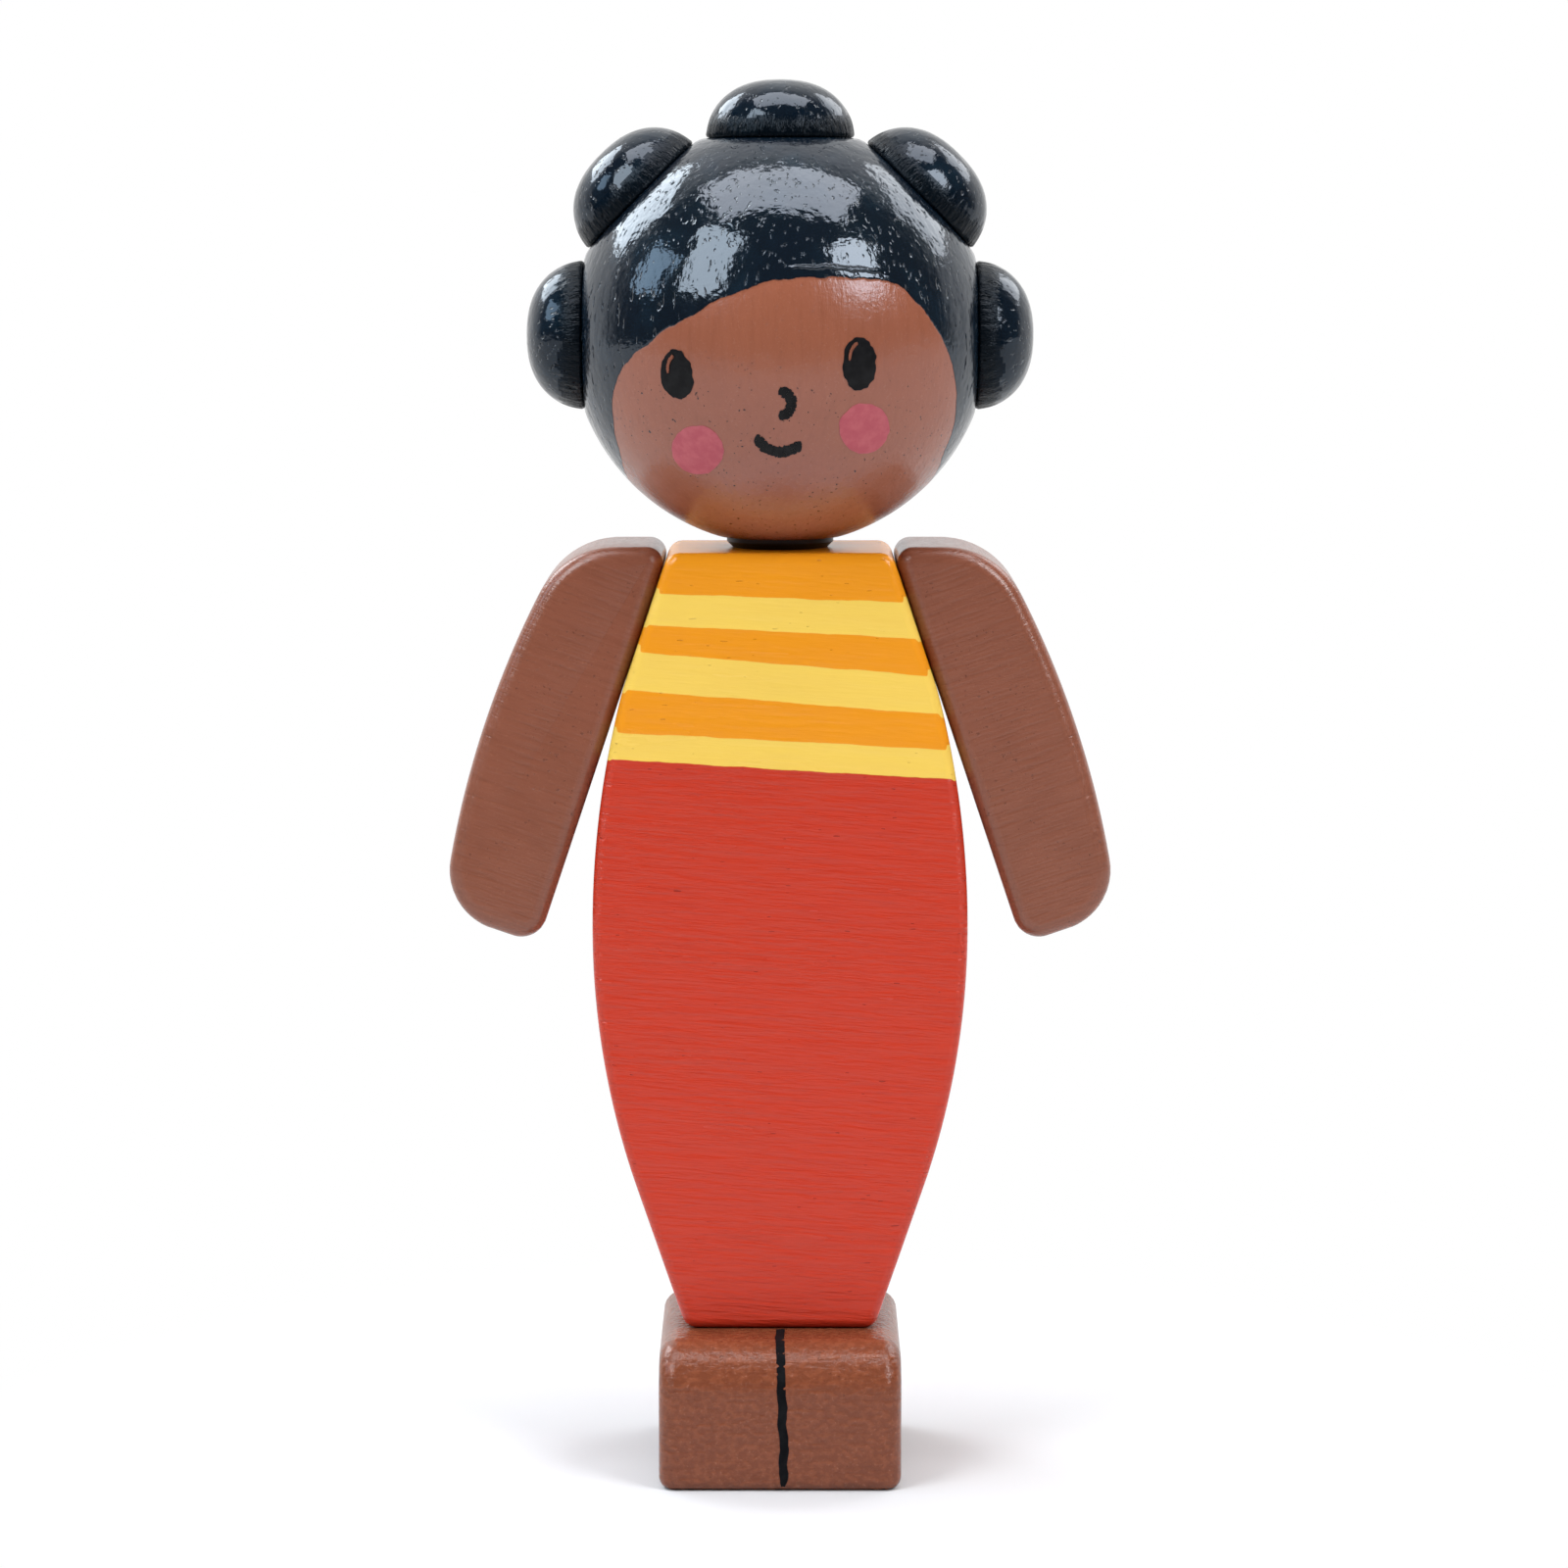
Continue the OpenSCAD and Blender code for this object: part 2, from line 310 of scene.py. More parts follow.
def make_bun(name, turn, number):
    bpy.ops.object.select_all(action="DESELECT")
    first = (BUN_R - BUN_FOOT) * MM
    bpy.ops.mesh.primitive_circle_add(vertices=BUN_SIDES, radius=first, fill_type="NGON")
    bun = bpy.context.object
    bun.name = name
    edit(bun)
    bpy.ops.mesh.select_all(action="SELECT")
    rings = [(BUN_R - 0.07, 0.08), (BUN_R, BUN_FOOT)]
    for step in range(1, BUN_STEPS):
        share = 1 - (1 - step / BUN_STEPS) ** 1.6
        up = BUN_FOOT + (BUN_H - BUN_FOOT) * share
        dome = (1 - share**BUN_POWER) ** (1 / BUN_POWER)
        rings.append((BUN_R * (1 - BUN_TAPER * share) * dome, up))
    size = BUN_R - BUN_FOOT
    height = 0
    for across, up in rings:
        move = {"value": (0, 0, (up - height) * MM)}
        bpy.ops.mesh.extrude_region_move(TRANSFORM_OT_translate=move)
        widen = (across / size, across / size, 1)
        bpy.ops.transform.resize(value=widen, center_override=(0, 0, up * MM))
        size = across
        height = up
    bpy.ops.mesh.inset(thickness=size * 0.5 * MM)
    bpy.ops.transform.translate(value=(0, 0, (BUN_H - height) * 0.75 * MM))
    bpy.ops.mesh.poke()
    leave()
    tidy_mesh(bun)
    fray(bun, number)
    keep_place(bun, number * BUN_SHIFT)
    smooth(bun, 60)
    bun.rotation_euler = (0, math.radians(turn), 0)
    lean = Matrix.Rotation(math.radians(turn), 3, "Y")
    bun.location = (lean @ Vector((0, 0, SEAT_R)) + Vector((0, 0, HEAD_Z))) * MM
    settle(bun)
    return bun


# Body, arms and feet


def body_half(z):
    """Half the width of the body board at a height."""
    if z > SHOULDER_END:
        half = TOP_HALF + (BODY_TOP - z) * math.tan(SHOULDER_SLANT)
        centre_z = BODY_TOP - BODY_CORNER
        inward = BODY_CORNER * (1 - math.sin(SHOULDER_SLANT)) / math.cos(SHOULDER_SLANT)
        if z > centre_z + BODY_CORNER * math.sin(SHOULDER_SLANT):
            reach = math.sqrt(max(0, BODY_CORNER**2 - (z - centre_z) ** 2))
            half = TOP_HALF - inward + reach
        return half
    if z > HIP_Z:
        return HIP_HALF - UPPER_BOW + math.sqrt(UPPER_BOW**2 - (z - HIP_Z) ** 2)
    skirt_z = HIP_Z - SKIRT_BOW * math.sin(SKIRT_SLANT)
    if z > skirt_z:
        return HIP_HALF - SKIRT_BOW + math.sqrt(SKIRT_BOW**2 - (z - HIP_Z) ** 2)
    skirt_half = HIP_HALF - SKIRT_BOW * (1 - math.cos(SKIRT_SLANT))
    half = skirt_half - (skirt_z - z) * math.tan(SKIRT_SLANT)
    centre_z = BODY_BOTTOM + BODY_CORNER
    if z < centre_z - BODY_CORNER * math.sin(SKIRT_SLANT):
        inward = BODY_CORNER * (1 - math.sin(SKIRT_SLANT)) / math.cos(SKIRT_SLANT)
        end_half = skirt_half - (skirt_z - BODY_BOTTOM) * math.tan(SKIRT_SLANT)
        half = end_half - inward + math.sqrt(max(0, BODY_CORNER**2 - (z - centre_z) ** 2))
    return half


def make_body():
    corner = [BODY_CORNER * (1 - math.cos(math.radians(turn))) for turn in range(0, 91, 15)]
    heights = [BODY_BOTTOM + part for part in corner]
    heights += list(np.linspace(BODY_BOTTOM + BODY_CORNER, SHOULDER_END, 58)[1:])
    heights += list(np.linspace(SHOULDER_END, BODY_TOP - BODY_CORNER, 8)[1:])
    heights += [BODY_TOP - part for part in reversed(corner[:-1])]
    rows = [(z, -body_half(z), body_half(z)) for z in heights]
    body = board_from_rows("body_painted", rows)
    thicken(body, BODY_T, BODY_EDGE)
    keep_place(body)
    return body


def arm_outline():
    """Points round the arm, whose inner face is the line at zero."""
    points = []
    for across, up, radius, first, last in ARM_ARCS:
        for angle in np.radians(np.linspace(first, last, 120)):
            points.append((across + radius * math.cos(angle), up + radius * math.sin(angle)))
    return points


def hull_side(points, sign):
    """The outermost points on one side of a convex outline, from the lowest to the highest."""
    side = []
    for across, up in sorted(points, key=lambda point: (point[1], sign * point[0])):
        while len(side) > 1:
            (x0, z0), (x1, z1) = side[-2], side[-1]
            turn = (x1 - x0) * (up - z0) - (z1 - z0) * (across - x0)
            if sign * turn > 0:
                break
            side.pop()
        side.append((across, up))
    return side


def make_arm():
    points = arm_outline()
    outer = hull_side(points, 1)
    inner = hull_side(points, -1)
    low = outer[0][1]
    high = outer[-1][1]
    ends = [0, 0.02, 0.07, 0.15, 0.28, 0.45, 0.7, 1.0, 1.4]
    heights = [low + part for part in ends]
    heights += list(np.linspace(low + 1.4, high - 5, 46)[1:])
    heights += list(np.linspace(high - 5, high - 1.4, 12)[1:])
    heights += [high - part for part in reversed(ends[:-1])]
    rows = []
    for z in heights:
        left = np.interp(z, [up for _, up in inner], [across for across, _ in inner])
        right = np.interp(z, [up for _, up in outer], [across for across, _ in outer])
        if right - left < 0.05:
            left -= 0.03
            right += 0.03
        rows.append((float(z), float(left), float(right)))
    arm = board_from_rows("arm_painted_left", rows)
    thicken(arm, ARM_T, ARM_EDGE)
    keep_place(arm)
    arm.rotation_euler = (0, -SHOULDER_SLANT, 0)
    outward = Vector((math.cos(SHOULDER_SLANT), 0, math.sin(SHOULDER_SLANT)))
    arm.location = (Vector((TOP_HALF, 0, BODY_TOP)) + outward * ARM_GAP) * MM
    settle(arm)
    return arm


def mirror_arm(arm):
    choose(arm)
    bpy.ops.object.duplicate(linked=False)
    other = bpy.context.object
    other.name = "arm_painted_right"
    edit(other)
    bpy.ops.mesh.select_all(action="SELECT")
    bpy.ops.transform.mirror(constraint_axis=(True, False, False), center_override=(0, 0, 0))
    bpy.ops.mesh.normals_make_consistent(inside=False)
    leave()
    return other


def make_feet():
    bpy.ops.object.select_all(action="DESELECT")
    middle = (0, (FOOT_FRONT + FOOT_BACK) / 2 * MM, FOOT_H / 2 * MM)
    bpy.ops.mesh.primitive_cube_add(size=1, location=middle)
    feet = bpy.context.object
    feet.name = "feet_painted"
    feet.scale = (2 * FOOT_HALF * MM, (FOOT_BACK - FOOT_FRONT) * MM, FOOT_H * MM)
    settle(feet)
    edit(feet, "EDGE")

    def on_toe(part):
        ends = [vertex.co for vertex in part.verts]
        return all(end.z > 0.9 * FOOT_H * MM and end.y < 0.9 * FOOT_FRONT * MM for end in ends)

    pick(feet, "edges", on_toe)
    bpy.ops.mesh.bevel(offset=TOE_R * MM, segments=10, affect="EDGES")

    def on_sole(part):
        return all(vertex.co.z < 0.01 * MM for vertex in part.verts)

    def is_sharp(part):
        return part.calc_face_angle(0) > math.radians(60)

    pick(feet, "edges", lambda part: is_sharp(part) and not on_sole(part))
    bpy.ops.transform.edge_bevelweight(value=1)
    pick(feet, "edges", on_sole)
    bpy.ops.transform.edge_bevelweight(value=SOLE_SHARE)
    leave()
    modify(feet, "BEVEL", width=FOOT_EDGE * MM, segments=6, limit_method="WEIGHT")
    tidy_mesh(feet)
    smooth(feet)
    modify(feet, "WEIGHTED_NORMAL", keep_sharp=True)
    keep_place(feet, FOOT_SHIFT)
    return feet


# Painted features


def lay_on(film, target, thickness=FILM):
    """Presses a flat film along Y onto the front of a piece and gives it a paint's thickness."""
    modify(
        film,
        "SHRINKWRAP",
        target=target,
        wrap_method="PROJECT",
        use_project_x=False,
        use_project_y=True,
        use_project_z=False,
        use_negative_direction=False,
        use_positive_direction=True,
        offset=thickness * MM,
        wrap_mode="ABOVE_SURFACE",
    )
    modify(film, "SOLIDIFY", thickness=1.5 * thickness * MM, offset=0)
    tidy_mesh(film)
    smooth(film, 60)
    keep_place(film)


def dab(name, centre, half, lean=0, seed=1, rough=0.05):
    """A round dab of paint in front of the face, with a slightly uneven edge."""
    bpy.ops.object.select_all(action="DESELECT")
    bpy.ops.mesh.primitive_circle_add(
        vertices=64, radius=1, fill_type="NGON", rotation=(math.pi / 2, 0, 0)
    )
    film = bpy.context.object
    film.name = name
    film.scale = (half[0] * MM, half[1] * MM, 1)
    settle(film)
    edit(film)
    bpy.ops.mesh.select_all(action="SELECT")
    bpy.ops.transform.vertex_random(offset=rough * MM, uniform=1, normal=0, seed=seed)
    bpy.ops.mesh.vertices_smooth(factor=0.5, repeat=1)
    bpy.ops.mesh.poke()
    bpy.ops.mesh.subdivide(number_cuts=5)
    leave()
    film.rotation_euler = (0, math.radians(lean), 0)
    film.location = (centre[0] * MM, EASEL_Y * MM, (HEAD_Z + centre[1]) * MM)
    settle(film)
    return film


def stroke(name, centre, radii, start, sweep, width, lean=0, seed=1):
    """A brush stroke along an arc in front of the face, with narrow ends and ragged edges."""
    film = first_edge(name)
    bpy.ops.transform.resize(value=(width * MM, 1, 1), center_override=(0, 0, 0))
    bpy.ops.transform.translate(value=(radii[0] * MM, 0, 0))
    turn = math.radians(start)
    bpy.ops.transform.rotate(value=turn, orient_axis="Y", center_override=(0, 0, 0))
    angle = math.radians(sweep)
    bpy.ops.mesh.spin(steps=STROKE_STEPS, angle=angle, center=(0, 0, 0), axis=(0, 1, 0))
    bpy.ops.mesh.select_all(action="SELECT")
    bpy.ops.mesh.remove_doubles(threshold=0.001 * MM)
    leave()
    for vertex in film.data.vertices:
        along = math.degrees(math.atan2(vertex.co.z, vertex.co.x))
        share = ((along - start) % 360) / sweep
        share = min(1, share) if share < 1.5 else 0
        taper = max(0.10, (1 - abs(2 * share - 1) ** 9)) ** 0.5
        radius = math.hypot(vertex.co.x, vertex.co.z)
        wanted = radii[0] * MM + (radius - radii[0] * MM) * taper
        vertex.co.x *= wanted / radius
        vertex.co.z *= wanted / radius
    edit(film)
    bpy.ops.mesh.select_all(action="SELECT")
    bpy.ops.mesh.subdivide(number_cuts=2)
    ragged = RAGGED_SHARE * width * MM
    bpy.ops.transform.vertex_random(offset=ragged, uniform=1, normal=0, seed=seed)
    bpy.ops.mesh.vertices_smooth(factor=0.5, repeat=1)
    leave()
    film.scale = (1, 1, radii[1] / radii[0])
    settle(film)
    film.rotation_euler = (0, math.radians(lean), 0)
    film.location = (centre[0] * MM, EASEL_Y * MM, (HEAD_Z + centre[1]) * MM)
    settle(film)
    return film


def make_foot_line():
    """The painted line that parts the feet, from the sole up the front and over the toe."""
    line = first_edge("feet_line")
    lift = FILM
    front = FOOT_FRONT - lift
    path = [(0.24, front, 0.45), (0.34, front, 1.2), (0.22, front, 2.4), (0.36, front, 3.6)]
    path += [(0.30, front, 4.6), (0.14, front, 5.8), (0.24, front, 7.2), (0.10, front, FOOT_H - TOE_R)]
    for turn in range(15, 91, 15):
        angle = math.radians(turn)
        y = FOOT_FRONT + TOE_R - (TOE_R + lift) * math.cos(angle)
        z = FOOT_H - TOE_R + (TOE_R + lift) * math.sin(angle)
        path.append((0.14 - turn * 0.002, y, z))
    path += [(-0.02, -10.5, FOOT_H + lift), (0.02, -9.3, FOOT_H + lift), (0.05, -8.05, FOOT_H + lift)]
    tip = LINE_W * LINE_TIP_SHARE * MM
    bpy.ops.transform.resize(value=(tip, 1, 1), center_override=(0, 0, 0))
    bpy.ops.transform.translate(value=tuple(part * MM for part in path[0]))
    for number, (before, after) in enumerate(zip(path, path[1:])):
        step = tuple((b - a) * MM for a, b in zip(before, after))
        bpy.ops.mesh.extrude_region_move(TRANSFORM_OT_translate={"value": step})
        if number == 0:
            centre = tuple(part * MM for part in after)
            bpy.ops.transform.resize(value=(1 / LINE_TIP_SHARE, 1, 1), center_override=centre)
    bpy.ops.mesh.select_all(action="SELECT")
    bpy.ops.mesh.subdivide(number_cuts=2)
    bpy.ops.mesh.select_mode(type="EDGE")
    pick(line, "edges", lambda part: part.is_boundary)
    bpy.ops.transform.vertex_random(offset=0.03 * MM, uniform=1, normal=0, seed=4)
    leave()
    modify(line, "SOLIDIFY", thickness=1.5 * FILM * MM, offset=0)
    tidy_mesh(line)
    smooth(line, 60)
    keep_place(line)
    return line


# Materials


def add(tree, kind, inputs=None, **settings):
    node = tree.nodes.new(kind)
    for name, value in settings.items():
        setattr(node, name, value)
    for key, value in (inputs or {}).items():
        if isinstance(value, bpy.types.NodeSocket):
            tree.links.new(value, node.inputs[key])
        else:
            node.inputs[key].default_value = value
    return node


def calc(tree, operation, first, second=0.0, third=0.0):
    node = add(tree, "ShaderNodeMath", {0: first, 1: second, 2: third}, operation=operation)
    return node.outputs[0]


def ramp(tree, value, low, high):
    """Rises smoothly from 0 to 1 between two values."""
    settings = {"Value": value, "From Min": low, "From Max": high}
    node = add(tree, "ShaderNodeMapRange", settings, interpolation_type="SMOOTHSTEP")
    return node.outputs[0]


def mixed(tree, share, first, second):
    """Mixes two colours."""
    node = add(tree, "ShaderNodeMix", {0: share, 6: first, 7: second}, data_type="RGBA")
    return node.outputs[2]


def own_place(tree):
    """Where a point lies in its piece's own frame."""
    return add(tree, "ShaderNodeAttribute", attribute_name="place").outputs["Vector"]


def grain(tree, place, lengths, detail=3.0, roughness=0.55, shift=0.0):
    """A noise whose grains are that many millimetres long on each axis."""
    scale = [1 / (length * MM) for length in lengths]
    inputs = {"Vector": place, "Scale": scale, "Location": (shift, shift, shift)}
    mapping = add(tree, "ShaderNodeMapping", inputs)
    inputs = {"Vector": mapping.outputs[0], "Scale": 1.0, "Detail": detail, "Roughness": roughness}
    return add(tree, "ShaderNodeTexNoise", inputs).outputs[0]


def raised(tree, height, depth, under=None):
    """A bump of that many millimetres, on top of another one."""
    inputs = {"Height": height, "Distance": depth * MM, "Strength": 1.0}
    if under is not None:
        inputs["Normal"] = under
    return add(tree, "ShaderNodeBump", inputs).outputs[0]


def new_material(name):
    material = bpy.data.materials.new(name)
    material.use_nodes = True
    tree = material.node_tree
    shader = tree.nodes["Principled BSDF"]
    return material, tree, shader


def finish_with(tree, shader, colour, roughness, normal):
    tree.links.new(colour, shader.inputs["Base Color"])
    tree.links.new(roughness, shader.inputs["Roughness"])
    tree.links.new(normal, shader.inputs["Normal"])


HAIR = (0.0018, 0.005, 0.010, 1)
HAIR_TEAL = (0.0035, 0.011, 0.020, 1)
# Painted shade for the foot of a bun, in the crease where it meets the head.
HAIR_FOOT_SHADE = (0.001, 0.002, 0.003, 1)
HAIR_SHEEN = (0.76, 0.87, 1.0, 1)
SKIN = (0.225, 0.072, 0.040, 1)
SKIN_DARK = (0.180, 0.056, 0.030, 1)
SKIN_PIT = (0.022, 0.008, 0.005, 1)
# Lighter specks: partly specks in the paint, partly painted highlight for tiny sparkles of light.
SKIN_SPECK_SPARKLE = (0.330, 0.130, 0.080, 1)
FACE_SKIN = (0.285, 0.090, 0.046, 1)
FACE_DARK = (0.252, 0.078, 0.040, 1)
FOOT_SKIN = (0.232, 0.065, 0.028, 1)
FOOT_DARK = (0.155, 0.041, 0.018, 1)
FOOT_DEEP = (0.130, 0.033, 0.014, 1)
RED = (0.525, 0.036, 0.014, 1)
RED_DARK = (0.465, 0.028, 0.011, 1)
RED_PIT = (0.180, 0.012, 0.008, 1)
ORANGE = (0.800, 0.285, 0.008, 1)
YELLOW = (0.840, 0.560, 0.095, 1)
PINK = (0.400, 0.072, 0.095, 1)
PINK_PALE = (0.46, 0.10, 0.12, 1)
BLACK = (0.003, 0.003, 0.004, 1)
BLACK_WORN = (0.008, 0.008, 0.009, 1)
WOOD = (0.69, 0.48, 0.25, 1)
WOOD_DARK = (0.60, 0.40, 0.20, 1)

# The hairline: degrees round the head from the middle of the face, and height over radius.
HAIRLINE = [
    (-180, -0.76),
    (-95, -0.75),
    (-67, -0.59),
    (-59, -0.42),
    (-49, -0.16),
    (-35, 0.015),
    (-23, 0.13),
    (-12, 0.225),
    (0, 0.282),
    (11, 0.292),
    (23, 0.288),
    (32, 0.268),
    (39, 0.185),
    (48, 0.02),
    (54, -0.13),
    (60, -0.31),
    (64, -0.43),
    (67, -0.55),
    (95, -0.75),
    (180, -0.76),
]

# A fold of thick paint over the hairline, as a height and a turn on the scale of the curve.
FOLD_UP = 0.022
FOLD_MIDDLE = 0.545

# Lower borders of the painted bands: height in the middle of the front, slope, and how far the
# border steps where the rounded edge begins.
BANDS = [
    (74.25, -0.032, 0.45, YELLOW),
    (71.46, -0.053, -0.30, ORANGE),
    (68.77, -0.085, 0.55, YELLOW),
    (65.56, -0.079, -0.35, ORANGE),
    (62.30, -0.054, 0.40, YELLOW),
    (59.92, -0.058, -0.15, RED),
]
BORDER_WOBBLE = 0.36
BORDER_SOFTNESS = 0.05
EDGE_START = 0.10
EDGE_END = 0.35

# How much the grain of the body board falls towards the left arm.
GRAIN_FALL = 0.07


def hair_paint(tree, place, fibres=0.0):
    """Colour, roughness and normal of the glossy dark hair paint; with fibres, the foot of a bun is
    also darkened as painted shade.
    """
    cloud = grain(tree, place, (4, 4, 5))
    colour = mixed(tree, ramp(tree, cloud, 0.45, 0.75), HAIR, HAIR_TEAL)
    pores = ramp(tree, grain(tree, place, (0.42, 0.42, 1.5), 1.5), 0.63, 0.71)
    fine = grain(tree, place, (0.6, 0.6, 2.0), 3.0)
    roughness = calc(tree, "MULTIPLY_ADD", fine, 0.09, 0.045)
    waves = raised(tree, grain(tree, place, (3.0, 3.0, 4.5), 3.0), 0.13)
    normal = raised(tree, calc(tree, "MULTIPLY", pores, -1.0), 0.11, waves)
    normal = raised(tree, fine, 0.02, normal)
    if fibres:
        up = add(tree, "ShaderNodeSeparateXYZ", {0: place}).outputs["Z"]
        low = calc(tree, "SUBTRACT", 1.0, ramp(tree, up, 0.9 * MM, 2.3 * MM))
        strands = grain(tree, place, (0.30, 0.30, 2.2), 3.0, 0.6)
        # Painted shade: the colour darkens towards the foot of the bun, where it meets the head.
        colour = mixed(tree, calc(tree, "MULTIPLY", low, 0.7), colour, HAIR_FOOT_SHADE)
        normal = raised(tree, calc(tree, "MULTIPLY", strands, low), fibres, normal)
        roughness = calc(tree, "MULTIPLY_ADD", low, 0.06, roughness)
    return colour, roughness, normal


def skin_paint(tree, place, lines, light, dark, relief, specks_and_sparkle, pitted):
    """Colour, roughness and normal of the satin brown paint over wood grain, with lighter specks that
    are partly painted highlight.
    """
    streaks = grain(tree, place, lines, 4.0, 0.6)
    cloud = grain(tree, place, (6, 6, 6))
    colour = mixed(tree, ramp(tree, streaks, 0.10, 0.60), dark, light)
    # Lighter specks: partly real specks in the paint, partly painted highlight that stands in for tiny
    # sparkles.
    specks = grain(tree, place, (0.22, 0.22, 0.22), 2.0, shift=3.0)
    speck_sparkle = calc(tree, "MULTIPLY", ramp(tree, specks, 0.56, 0.78), specks_and_sparkle)
    colour = mixed(tree, speck_sparkle, colour, SKIN_SPECK_SPARKLE)
    shade = calc(tree, "MULTIPLY", ramp(tree, cloud, 0.40, 0.75), 0.35)
    colour = mixed(tree, shade, colour, dark)
    dots = grain(tree, place, (0.30, 0.30, 0.30), 1.0)
    where = ramp(tree, grain(tree, place, (5, 5, 5), 1.0, shift=7.0), 0.40, 0.52)
    pits = calc(tree, "MULTIPLY", ramp(tree, dots, 0.715, 0.74), where)
    pits = calc(tree, "MULTIPLY", pits, pitted)
    colour = mixed(tree, pits, colour, SKIN_PIT)
    roughness = calc(tree, "MULTIPLY_ADD", streaks, 0.14, 0.16)
    normal = raised(tree, streaks, relief)
    normal = raised(tree, specks, 0.03 * specks_and_sparkle, normal)
    normal = raised(tree, calc(tree, "MULTIPLY", pits, -1.0), 0.08, normal)
    return colour, roughness, normal


def make_head_material():
    material, tree, shader = new_material("head_paint")
    place = own_place(tree)
    axes = add(tree, "ShaderNodeSeparateXYZ", {0: place}).outputs
    front = calc(tree, "MULTIPLY", axes["Y"], -1.0)
    turned = calc(tree, "ARCTAN2", axes["X"], front)
    turned = calc(tree, "MULTIPLY_ADD", turned, 0.5 / math.pi, 0.5)
    curve = add(tree, "ShaderNodeFloatCurve", {"Value": turned})
    points = curve.mapping.curves[0].points
    for angle, height in HAIRLINE[1:-1]:
        points.new(angle / 360 + 0.5, height / 2 + 0.5)
    points[0].location = (0, HAIRLINE[0][1] / 2 + 0.5)
    points[-1].location = (1, HAIRLINE[-1][1] / 2 + 0.5)
    curve.mapping.update()
    level = calc(tree, "MULTIPLY_ADD", axes["Z"], 0.5 / (HEAD_R * MM), 0.5)
    above = calc(tree, "SUBTRACT", level, curve.outputs[0])
    wobble = grain(tree, place, (1.6, 1.6, 1.6), 3.0)
    above = calc(tree, "ADD", above, calc(tree, "MULTIPLY_ADD", wobble, 0.022, -0.011))
    hair = ramp(tree, above, -0.0015, 0.0015)
    hair_colour, hair_roughness, hair_normal = hair_paint(tree, place)
    pitted = calc(tree, "MULTIPLY_ADD", ramp(tree, axes["Z"], 0.0, -7 * MM), 1.2, 0.1)
    skin_colour, skin_roughness, skin_normal = skin_paint(
        tree, place, (0.5, 0.5, 5.0), FACE_SKIN, FACE_DARK, 0.05, 0.5, pitted
    )
    colour = mixed(tree, hair, skin_colour, hair_colour)
    share = {0: hair, 2: skin_roughness, 3: hair_roughness}
    roughness = add(tree, "ShaderNodeMix", share, data_type="FLOAT").outputs[0]
    share = {0: hair, 4: skin_normal, 5: hair_normal}
    normal = add(tree, "ShaderNodeMix", share, data_type="VECTOR").outputs[1]
    normal = raised(tree, ramp(tree, above, -0.006, 0.006), 0.06, normal)
    fold = calc(tree, "ABSOLUTE", calc(tree, "SUBTRACT", above, FOLD_UP))
    fold = calc(tree, "SUBTRACT", 1.0, ramp(tree, fold, 0.0, 0.008))
    along = calc(tree, "ABSOLUTE", calc(tree, "SUBTRACT", turned, FOLD_MIDDLE))
    fold = calc(tree, "MULTIPLY", fold, calc(tree, "SUBTRACT", 1.0, ramp(tree, along, 0.02, 0.05)))
    normal = raised(tree, fold, 0.18, normal)
    normal = raised(tree, grain(tree, place, (1.0, 1.0, 0.6), 2.0, shift=2.0), 0.028, normal)
    finish_with(tree, shader, colour, roughness, normal)
    shader.inputs["Specular IOR Level"].default_value = 0.65
    shader.inputs["Specular Tint"].default_value = HAIR_SHEEN
    return material


def make_hair_material(name, gloss, fibres):
    material, tree, shader = new_material(name)
    finish_with(tree, shader, *hair_paint(tree, own_place(tree), fibres))
    shader.inputs["Specular IOR Level"].default_value = gloss
    shader.inputs["Specular Tint"].default_value = HAIR_SHEEN
    return material


def make_skin_material():
    material, tree, shader = new_material("skin_paint")
    lines = (4.0, 4.0, 0.30)
    paint = skin_paint(tree, own_place(tree), lines, SKIN, SKIN_DARK, 0.06, 0.25, 0.35)
    finish_with(tree, shader, *paint)
    shader.inputs["Specular IOR Level"].default_value = 0.5
    return material


def make_foot_material():
    material, tree, shader = new_material("foot_paint")
    place = own_place(tree)
    lines = (5.0, 5.0, 0.45)
    colour, roughness, normal = skin_paint(
        tree, place, lines, FOOT_SKIN, FOOT_DARK, 0.08, 0.7, 0.5
    )
    dents = grain(tree, place, (0.6, 0.6, 0.45), 2.0, shift=4.0)
    mottle = calc(tree, "MULTIPLY", ramp(tree, dents, 0.62, 0.42), 0.5)
    colour = mixed(tree, mottle, colour, FOOT_DEEP)
    normal = raised(tree, dents, 0.09, normal)
    finish_with(tree, shader, colour, roughness, normal)
    shader.inputs["Specular IOR Level"].default_value = 0.35
    return material


